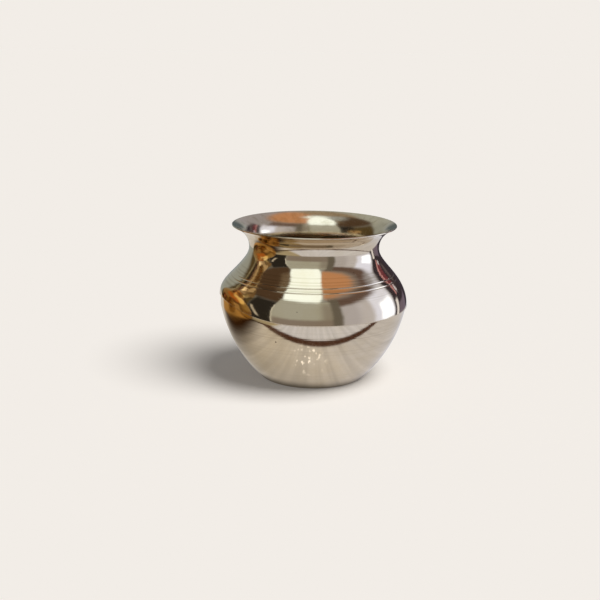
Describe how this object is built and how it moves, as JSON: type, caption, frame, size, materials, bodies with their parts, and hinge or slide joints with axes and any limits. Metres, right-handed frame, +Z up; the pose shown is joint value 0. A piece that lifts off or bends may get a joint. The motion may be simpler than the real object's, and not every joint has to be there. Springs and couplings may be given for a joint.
{
  "type": "lota",
  "caption": "Small round-bellied pale brass water pot with a lapped seam at the belly, a narrow neck and a wide flared mouth.",
  "frame": {"origin": "centre of the ring the pot stands on, at the ground", "axes": "+Z up the axis that the pot is turned about; the pot is round, so +X and +Y are free"},
  "size_m": [0.1, 0.1, 0.0819],
  "materials": {
    "polished_brass": "buffed to a mirror on the lathe, pale, with fine turning marks and a light tarnish",
    "brazing_metal": "yellow brazing brass, left as it ran"
  },
  "bodies": {
    "root": {"bowl": "polished_brass", "shoulder": "polished_brass", "mouth_collar": "polished_brass", "belly_braze": "brazing_metal", "neck_braze": "brazing_metal"}
  },
  "joints": []
}
